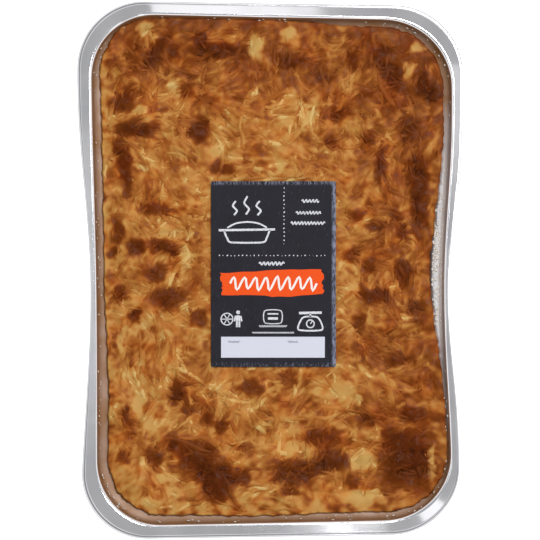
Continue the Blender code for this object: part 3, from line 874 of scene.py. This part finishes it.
def makeShreds(name, surface, ground, toneScale):
    kind = shreds[name]
    paths, draw = shredPaths(kind)
    down = Vector((0, 0, -1))
    kept = []
    heights = []
    for path in paths:
        if len(kept) == kind["count"]:
            break
        hits = [ground.ray_cast(Vector((px, py, 0.1)), down) for px, py in zip(path[0], path[1])]
        if all(hit[0] is not None and hit[1].z > 0.35 and hit[0].z > 31.5 * mm for hit in hits):
            kept.append(path)
            heights.append([hit[0].z for hit in hits])
    paths, heights = np.array(kept), np.array(heights)
    count = len(paths)
    x, y, heading = paths[:, 0], paths[:, 1], paths[:, 2]
    along = np.linspace(-1, 1, shredSteps + 1)
    taper = np.sqrt(np.clip(1 - np.abs(along) ** 3.2, 0.05, 1))[None, :]
    half = draw.uniform(*kind["halfWidth"], (count, 1)) * taper
    half = half * draw.uniform(0.8, 1.2, (count, shredSteps + 1))
    lift = draw.uniform(*kind["lift"], (count, 1))
    tone, pale, ruddy = baked(x, y)
    hidden = np.array([[nearLabel(px, py) for px, py in zip(rowX, rowY)] for rowX, rowY in zip(x, y)])
    melted = easeMany(0.5 + 1.6 * hills(x, y, 13 * mm, 77))
    sink = 0.35 * mm * (1 - taper) + 0.5 * mm * (hidden > 0.999) + 0.08 * mm * pale + 0.22 * mm * melted
    centre = heights + lift - sink
    sides = len(shredSides)
    points = np.empty((count, shredSteps + 1, sides, 3))
    for number, turn in enumerate(shredSides):
        aside = math.cos(turn) * half
        points[:, :, number, 0] = x - np.sin(heading) * aside
        points[:, :, number, 1] = y + np.cos(heading) * aside
        points[:, :, number, 2] = centre + math.sin(turn) * half * kind["rise"]
    faces = []
    ringSize = sides * (shredSteps + 1)
    for shred in range(count):
        first = shred * ringSize
        for step in range(shredSteps):
            low = first + step * sides
            for side in range(sides):
                after = (side + 1) % sides
                faces.append((low + side, low + after, low + sides + after, low + sides + side))
        faces.append(tuple(first + side for side in reversed(range(sides))))
        faces.append(tuple(first + shredSteps * sides + side for side in range(sides)))
    mesh = bpy.data.meshes.new(name)
    mesh.from_pydata(points.reshape(-1, 3), [], faces)
    own = draw.uniform(*kind["tone"], (count, 1))
    tips = 0.10 * np.abs(along)[None, :] ** 3
    under = evened(tone, toneScale)
    even = under - own * (1.2 - 0.8 * under) + tips
    spreadOut = [np.repeat(values, sides, axis=1).ravel() for values in (even, pale, ruddy)]
    writeBake(mesh, *spreadOut)
    mesh.materials.append(surface)
    mesh.shade_smooth()
    piece = bpy.data.objects.new(name, mesh)
    bpy.context.scene.collection.objects.link(piece)
    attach(piece, "root")
    print(name, "done,", count, "shreds")


def crustSurface():
    surface = newMaterial("bakedCheese", lit(157, 93, 43), 0.45)
    n = Nodes(surface)
    place = n.place()
    brown = n.attribute("brown")
    mottle = n.speckle(place, 420, 3, 0.65, 0.4)
    tone = n.maths("MULTIPLY_ADD", n.maths("SUBTRACT", mottle, 0.5), 0.2, brown)
    tone = n.maths("MULTIPLY_ADD", tone, 0.89, 0.06, clampIt=True)
    toasted = n.ramp(tone, [(place, lit(*colour)) for place, colour in crust["tones"]])
    ruddy = n.attribute("ruddy")
    red = n.blend(n.spread(ruddy, 0.45, 1.0, 0.0, 0.7), toasted, (1.06, 0.80, 0.55), "MULTIPLY")
    green = n.blend(n.spread(ruddy, 0.05, 0.42, 0.6, 0.0), red, (0.93, 1.03, 0.98), "MULTIPLY")
    creamy = n.spread(n.attribute("pale"), 0.1, 0.8, 0.0, 0.4)
    n.give(Base_Color=n.blend(creamy, green, lit(190, 164, 98)))
    shine = n.maths("SUBTRACT", n.spread(mottle, 0.3, 0.7, 0.60, 0.38), n.maths("MULTIPLY", brown, 0.08))
    n.give(Roughness=shine)
    n.give(Normal=n.bump(mottle, 0.3, 0.25 * mm))
    n.give(Specular_IOR_Level=0.05)
    return surface


# Droplets of cream that dried on the wall above the crust

droplets = {
    "count": 150,
    "seed": 61,
    "size": (0.22 * mm, 0.55 * mm),
    "flat": 0.45,
    "raised": 0.36,                # so that none comes through the thin foil
    "rise": (0.1, 0.95),           # share of the way up the wall, or across the ledge
    "onLedge": 130,                # more of them on the ledge of the right side
    "ledgeSize": 1.5,              # and larger
    "ledgeMiddle": 4 * mm,
    "ledgeSpread": 22 * mm,
}


# Number of the point of a line's right half that lies nearest to y.
def rightPointAt(line, y):
    return min(range(len(line)), key=lambda number: abs(line[number].y - y) + (line[number].x < 0))


def makeDroplets():
    draw = np.random.default_rng(droplets["seed"])
    levels = [tray["wall"][number] for number in (6, 7, 10)]
    ledge = [[dented(p) for p in wallRing(inset * mm, height * mm)] for inset, height in levels]
    shape = bmesh.new()
    for number in range(droplets["count"] + droplets["onLedge"]):
        rings, grow = ledge[1:], 1
        at = int(draw.integers(len(rings[0])))
        share = draw.uniform(*droplets["rise"])
        if number >= droplets["count"]:
            rings, grow = ledge[:2], droplets["ledgeSize"]
            at = rightPointAt(rings[0], draw.normal(droplets["ledgeMiddle"], droplets["ledgeSpread"]))
        start, end = rings[0][at], rings[0][(at + 1) % len(rings[0])]
        above, aboveEnd = rings[1][at], rings[1][(at + 1) % len(rings[0])]
        step = draw.uniform()
        place = start.lerp(end, step).lerp(above.lerp(aboveEnd, step), share)
        along = (end - start).normalized()
        up = (above - start).normalized()
        into = along.cross(up)
        size = draw.uniform(*droplets["size"]) * grow
        grown = bmesh.ops.create_icosphere(shape, subdivisions=1, radius=1)
        long = draw.uniform(0.8, 1.7)
        for vert in grown["verts"]:
            bead = vert.co.copy()
            depth = bead.z * droplets["flat"] - droplets["raised"]
            vert.co = place + (along * bead.x * long + up * bead.y + into * depth) * size
    surface = newMaterial("driedCream", lit(226, 216, 204), 0.35)
    piece = finishPiece("creamDroplets", shape, surface)
    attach(piece, "root")
    print("droplets done")


# Label: a matt slate card with chalk marks, an orange brush stroke and a white box

card = {
    "slate": (46, 45, 53),
    "print": 0.06 * mm,            # how far the print stands on the card
    "bed": 0.03 * mm,              # and how deep it reaches into it
    "matt": 0.12,                  # specular level
    "step": 0.35 * mm,             # length of a step along a chalk line
    "boxMiddle": (-0.25, -36.05),  # white box, in mm from the card's middle
    "boxSize": (51.1, 10.3),
}


def chalkRing(x, y, radius, step):
    turns = np.arange(0, 6.2, step)
    return [(x + radius * math.cos(turn), y + radius * math.sin(turn)) for turn in turns]


# Chalk lines on the card, in mm from its middle: width, closed or open, and points
chalkLines = [
    (1.1, False, [(-27.0, 21.6), (0.8, 22.0)]),                       # baking dish
    (0.9, False, [(-24.4, 21.4), (-22.8, 17.6), (-20.6, 15.6), (-5.6, 15.6), (-3.4, 17.6), (-1.8, 21.8)]),
    (0.8, False, [(-22.8, 22.8), (-18.4, 25.0), (-12.9, 25.7), (-7.4, 25.0), (-3.2, 22.9)]),
    (0.9, False, [(-19.4, 29.0), (-18.0, 31.2), (-20.0, 33.6), (-18.6, 36.0)]),
    (0.9, False, [(-13.6, 29.4), (-12.0, 32.0), (-14.4, 35.0), (-12.8, 38.4)]),
    (0.9, False, [(-7.8, 29.0), (-6.2, 31.2), (-8.4, 33.6), (-6.8, 36.0)]),
    (0.55, True, chalkRing(-22.9, -22.2, 2.9, 0.4)),
    (0.45, False, [(-25.6, -22.2), (-20.2, -22.2)]),                  # plate of six portions
    (0.45, False, [(-24.25, -24.5), (-21.55, -19.9)]),
    (0.45, False, [(-24.25, -19.9), (-21.55, -24.5)]),
    (0.95, True, chalkRing(-17.4, -18.9, 0.5, 0.9)),
    (2.3, False, [(-17.4, -20.4), (-17.4, -23.1)]),                   # person
    (0.7, False, [(-18.7, -20.6), (-19.2, -23.3)]),
    (0.7, False, [(-16.1, -20.6), (-15.6, -23.3)]),
    (0.9, False, [(-18.0, -22.9), (-18.0, -26.2)]),
    (0.9, False, [(-16.8, -22.9), (-16.8, -26.2)]),
    (0.5, True, [(-4.2, -18.1), (3.7, -18.1), (3.7, -24.0), (-4.2, -24.0)]),
    (0.7, False, [(-2.9, -19.6), (2.4, -19.6)]),                      # oven
    (1.2, False, [(-2.7, -21.9), (2.2, -21.9)]),
    (1.2, False, [(12.6, -19.2), (23.8, -19.0)]),                     # kitchen scales
    (0.9, False, [(18.2, -19.4), (18.2, -21.4)]),
    (0.8, True, [(14.6, -21.4), (21.8, -21.4), (24.0, -27.4), (12.4, -27.4)]),
    (0.6, True, chalkRing(18.2, -24.5, 1.9, 0.5)),
    (0.5, False, [(18.2, -24.5), (19.2, -23.2)]),
]

# Rows of waves that stand for writing: left, right and middle in mm, height, length of a wave, line width
chalkWaves = [
    (14.0, 22.4, 36.0, 1.9, 1.7, 0.6), (11.1, 23.3, 30.2, 1.7, 1.6, 0.6), (8.6, 25.3, 25.1, 1.9, 1.6, 0.6),
    (-7.1, 5.2, 5.2, 2.0, 1.9, 0.75), (-7.1, 6.6, -25.7, 1.1, 1.2, 0.38),
    (-10.5, 10.1, -28.9, 0.9, 1.1, 0.34),
]
brushWaves = [(-21.4, 21.4, -4.6, 8.6, 5.35, 1.05)]
inkWaves = [(-22.3, -16.6, -33.4, 1.3, 1.3, 0.3), (7.1, 12.2, -33.4, 1.3, 1.3, 0.3)]

# Rows of dots: first and last place and how many
chalkDots = [((5.2, 42.3), (5.2, 14.8), 15), ((-26.7, 9.1), (25.3, 9.1), 28)]


def slateSurface():
    surface = newMaterial("slateCard", lit(*card["slate"]), 0.6)
    n = Nodes(surface)
    place = n.place()
    middleX, middleY = label["centre"]
    right, top = middleX + label["width"] / 2, middleY + label["length"] / 2
    bottom = middleY - label["length"] / 2
    x, y = n.axis(place, "X"), n.axis(place, "Y")
    cloud = n.speckle(place, 90, 4, 0.6)
    dust = n.speckle(n.stretched(place, (1, 0.3, 1)), 900, 3, 0.7)
    hatch = n.speckle(n.stretched(place, (1.3, 0.35, 1)), 1300, 2, 0.6, 0.6)
    base = n.ramp(cloud, [(0.3, lit(28, 27, 34)), (0.7, lit(41, 40, 48))])
    nearTop = n.spread(y, top - 2.2 * mm, top - 1.0 * mm, 0, 1)
    nearRight = n.spread(x, right - 2.3 * mm, right - 1.2 * mm, 0, 1)
    nearBottom = n.spread(y, bottom + 2.6 * mm, bottom + 1.6 * mm, 0, 1)
    alongTop = n.maths("MULTIPLY", nearTop, n.spread(hatch, 0.46, 0.62, 0, 0.55))
    alongRight = n.maths("MULTIPLY", nearRight, n.spread(dust, 0.40, 0.60, 0.1, 0.75))
    alongBottom = n.maths("MULTIPLY", nearBottom, n.spread(hatch, 0.52, 0.66, 0, 0.3))
    chalky = n.maths("MAXIMUM", n.maths("MAXIMUM", alongTop, alongRight), alongBottom)
    chalky = n.maths("MAXIMUM", chalky, n.spread(dust, 0.62, 0.85, 0.0, 0.25))
    n.give(Base_Color=n.blend(chalky, base, lit(150, 154, 176)))
    n.give(Roughness=n.spread(cloud, 0.3, 0.7, 0.52, 0.66))
    n.give(Normal=n.bump(dust, 0.15, 0.05 * mm))
    n.give(Specular_IOR_Level=card["matt"])
    return surface


def printSurface(name, colour, worn, share):
    surface = newMaterial(name, lit(*colour), 0.6)
    n = Nodes(surface)
    rub = n.speckle(n.place(), 1500, 3, 0.6)
    n.give(Base_Color=n.blend(n.spread(rub, 0.50, 0.75, 0.0, share), lit(*colour), lit(*worn)))
    n.give(Specular_IOR_Level=card["matt"])
    return surface


# Puts a point in mm from the card's middle onto the card.
def onCard(x, y):
    low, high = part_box("label")
    return Vector((label["centre"][0] + x * mm, label["centre"][1] + y * mm, high.z + card["print"]))


# Evenly spaced points along a bent line, rounded where it is bent.
def rounded(points, closed):
    ring = [Vector(point) for point in points]
    if closed:
        ring = [ring[-1], *ring, ring[0], ring[1]]
    else:
        ring = [ring[0] * 2 - ring[1], *ring, ring[-1] * 2 - ring[-2]]
    line = []
    for before, start, end, after in zip(ring, ring[1:], ring[2:], ring[3:]):
        steps = max(2, math.ceil((end - start).length * mm / card["step"]))
        for number in range(steps):
            t = number / steps
            bend = (end - before) * (t - 2 * t**2 + t**3) + (after - start) * (t**3 - t**2)
            line.append(start * (1 - 3 * t**2 + 2 * t**3) + end * (3 * t**2 - 2 * t**3) + bend * 0.35)
    line.append(ring[-2])
    return line


# A ribbon along a line, of uneven width like chalk, standing a little on the card.
def addStroke(shape, line, width, rough=0.22):
    grown = bmesh.ops.create_grid(shape, x_segments=len(line) - 1, y_segments=1, size=0.5)
    faces = list({face for vert in grown["verts"] for face in vert.link_faces})
    for vert in grown["verts"]:
        at = round((vert.co.x + 0.5) * (len(line) - 1))
        before, after = line[max(0, at - 1)], line[min(len(line) - 1, at + 1)]
        way = (after - before).normalized()
        side = 1 if vert.co.y > 0 else -1
        uneven = 1 + rough * noise.noise(Vector((line[at].x * 1.1, line[at].y * 1.1, 3.0 * side)))
        vert.co = onCard(*(line[at] + Vector((-way.y, way.x)) * (side * width / 2 * uneven)))
    sinkInto(shape, faces)


# Gives flat faces a body that reaches down into the card.
def sinkInto(shape, faces):
    grown = bmesh.ops.extrude_face_region(shape, geom=faces, use_keep_orig=True)["geom"]
    fresh = [item for item in grown if isinstance(item, bmesh.types.BMVert)]
    bmesh.ops.translate(shape, verts=fresh, vec=(0, 0, -card["print"] - card["bed"]))


def addWaves(shape, rows, slant=0.2):
    for left, right, middle, height, length, width in rows:
        count = round((right - left) / length * 8)
        line = []
        for number in range(count + 1):
            x = left + (right - left) * number / count
            swing = 0.75 + 0.25 * noise.noise(Vector((x * 0.9, middle, 0.5)))
            y = math.sin(number / 8 * math.tau) * height / 2 * swing
            line.append(Vector((x + slant * y, middle + y)))
        addStroke(shape, line, width)


def finishPrint(name, shape, surface):
    bmesh.ops.recalc_face_normals(shape, faces=shape.faces)
    piece = finishPiece(name, shape, surface, smooth=False)
    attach(piece, "root")


def makePrint():
    chalk = printSurface("chalk", (222, 223, 230), (120, 122, 134), 0.8)
    shape = bmesh.new()
    for width, closed, points in chalkLines:
        addStroke(shape, rounded(points, closed), width)
    addWaves(shape, chalkWaves)
    draw = np.random.default_rng(41)
    for first, last, count in chalkDots:
        for number in range(count):
            middle = Vector(first).lerp(Vector(last), number / (count - 1))
            middle += Vector(draw.uniform(-0.15, 0.15, 2))
            reach = Vector(draw.uniform(-0.25, 0.25, 2)) + Vector((0.12, 0.12))
            addStroke(shape, [middle - reach, middle + reach], 0.5)
    finishPrint("chalkMarks", shape, chalk)

    brush = bmesh.new()
    grown = bmesh.ops.create_grid(brush, x_segments=90, y_segments=22, size=0.5)
    for vert in grown["verts"]:
        u, v = vert.co.x + 0.5, vert.co.y + 0.5
        ragged = noise.noise(Vector((0.3, v * 5.5, 1.0))) + 0.6 * noise.noise(Vector((0.3, v * 14, 5.0)))
        start, end = -25.4 + 1.4 * ragged, 24.2 + 1.6 * noise.noise(Vector((4.3, v * 6.5, 2.0)))
        x = start + (end - start) * u
        low = -10.4 + 0.5 * noise.noise(Vector((u * 6, 1.0, 1.0)))
        low += 1.5 * ease((u - 0.6) / 0.4) - 0.9 * ease((u - 0.42) / 0.1)
        high = 0.6 + 0.3 * noise.noise(Vector((u * 7, 4.0, 1.0))) + 1.7 * ease(u / 0.75)
        vert.co = onCard(x, low + (high - low) * v)
    sinkInto(brush, list(brush.faces))
    finishPrint("orangeBrush", brush, printSurface("orangePaint", (236, 84, 24), (226, 66, 14), 0.9))

    box = bmesh.new()
    bmesh.ops.create_grid(box, x_segments=1, y_segments=1, size=0.5)
    (middleX, middleY), (wide, tall) = card["boxMiddle"], card["boxSize"]
    for vert in box.verts:
        vert.co = onCard(middleX + wide * vert.co.x, middleY + tall * vert.co.y)
    sinkInto(box, list(box.faces))
    finishPrint("whiteBox", box, printSurface("whitePrint", (210, 212, 225), (205, 207, 221), 0.5))

    over = bmesh.new()
    addWaves(over, brushWaves)
    bmesh.ops.translate(over, verts=over.verts, vec=(0, 0, card["print"] / 2))
    finishPrint("brushWave", over, printSurface("whitePaint", (240, 236, 232), (232, 216, 206), 0.6))

    ink = bmesh.new()
    addWaves(ink, inkWaves)
    bmesh.ops.translate(ink, verts=ink.verts, vec=(0, 0, card["print"] / 2))
    finishPrint("inkMarks", ink, printSurface("greyInk", (120, 120, 134), (150, 150, 164), 0.7))
    print("print done")


def makeLabel():
    low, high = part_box("label")
    shape = bmesh.new()
    bmesh.ops.create_cube(shape, size=1)
    bmesh.ops.scale(shape, verts=shape.verts, vec=high - low)
    upright = [edge for edge in shape.edges if abs(edge.verts[0].co.z - edge.verts[1].co.z) > 0.2 * mm]
    corner = {"offset": 0.8 * mm, "segments": 5, "profile": 0.5, "affect": "EDGES", "material": -1}
    bmesh.ops.bevel(shape, geom=upright, **corner)
    bmesh.ops.translate(shape, verts=shape.verts, vec=(low + high) / 2)
    bmesh.ops.recalc_face_normals(shape, faces=shape.faces)
    piece = finishPiece("labelCard", shape, slateSurface(), smooth=False)
    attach(piece, "root")
    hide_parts("label")
    print("label done")


setCamera()
setSky()
setFloor()
aimedLight("keySoftbox", studio["keyPlace"], studio["keySize"], studio["keySize"], studio["keyPower"])
for name, (place, wide, long, power) in studio["bounceStrips"].items():
    aimedLight(name, place, wide, long, power)
makeTray()
cheese = crustSurface()
gratinCrust, toneScale = makeCrust(cheese)
ground = BVHTree.FromObject(gratinCrust, bpy.context.evaluated_depsgraph_get())
for name in shreds:
    makeShreds(name, cheese, ground, toneScale)
makeDroplets()
makeLabel()
makePrint()
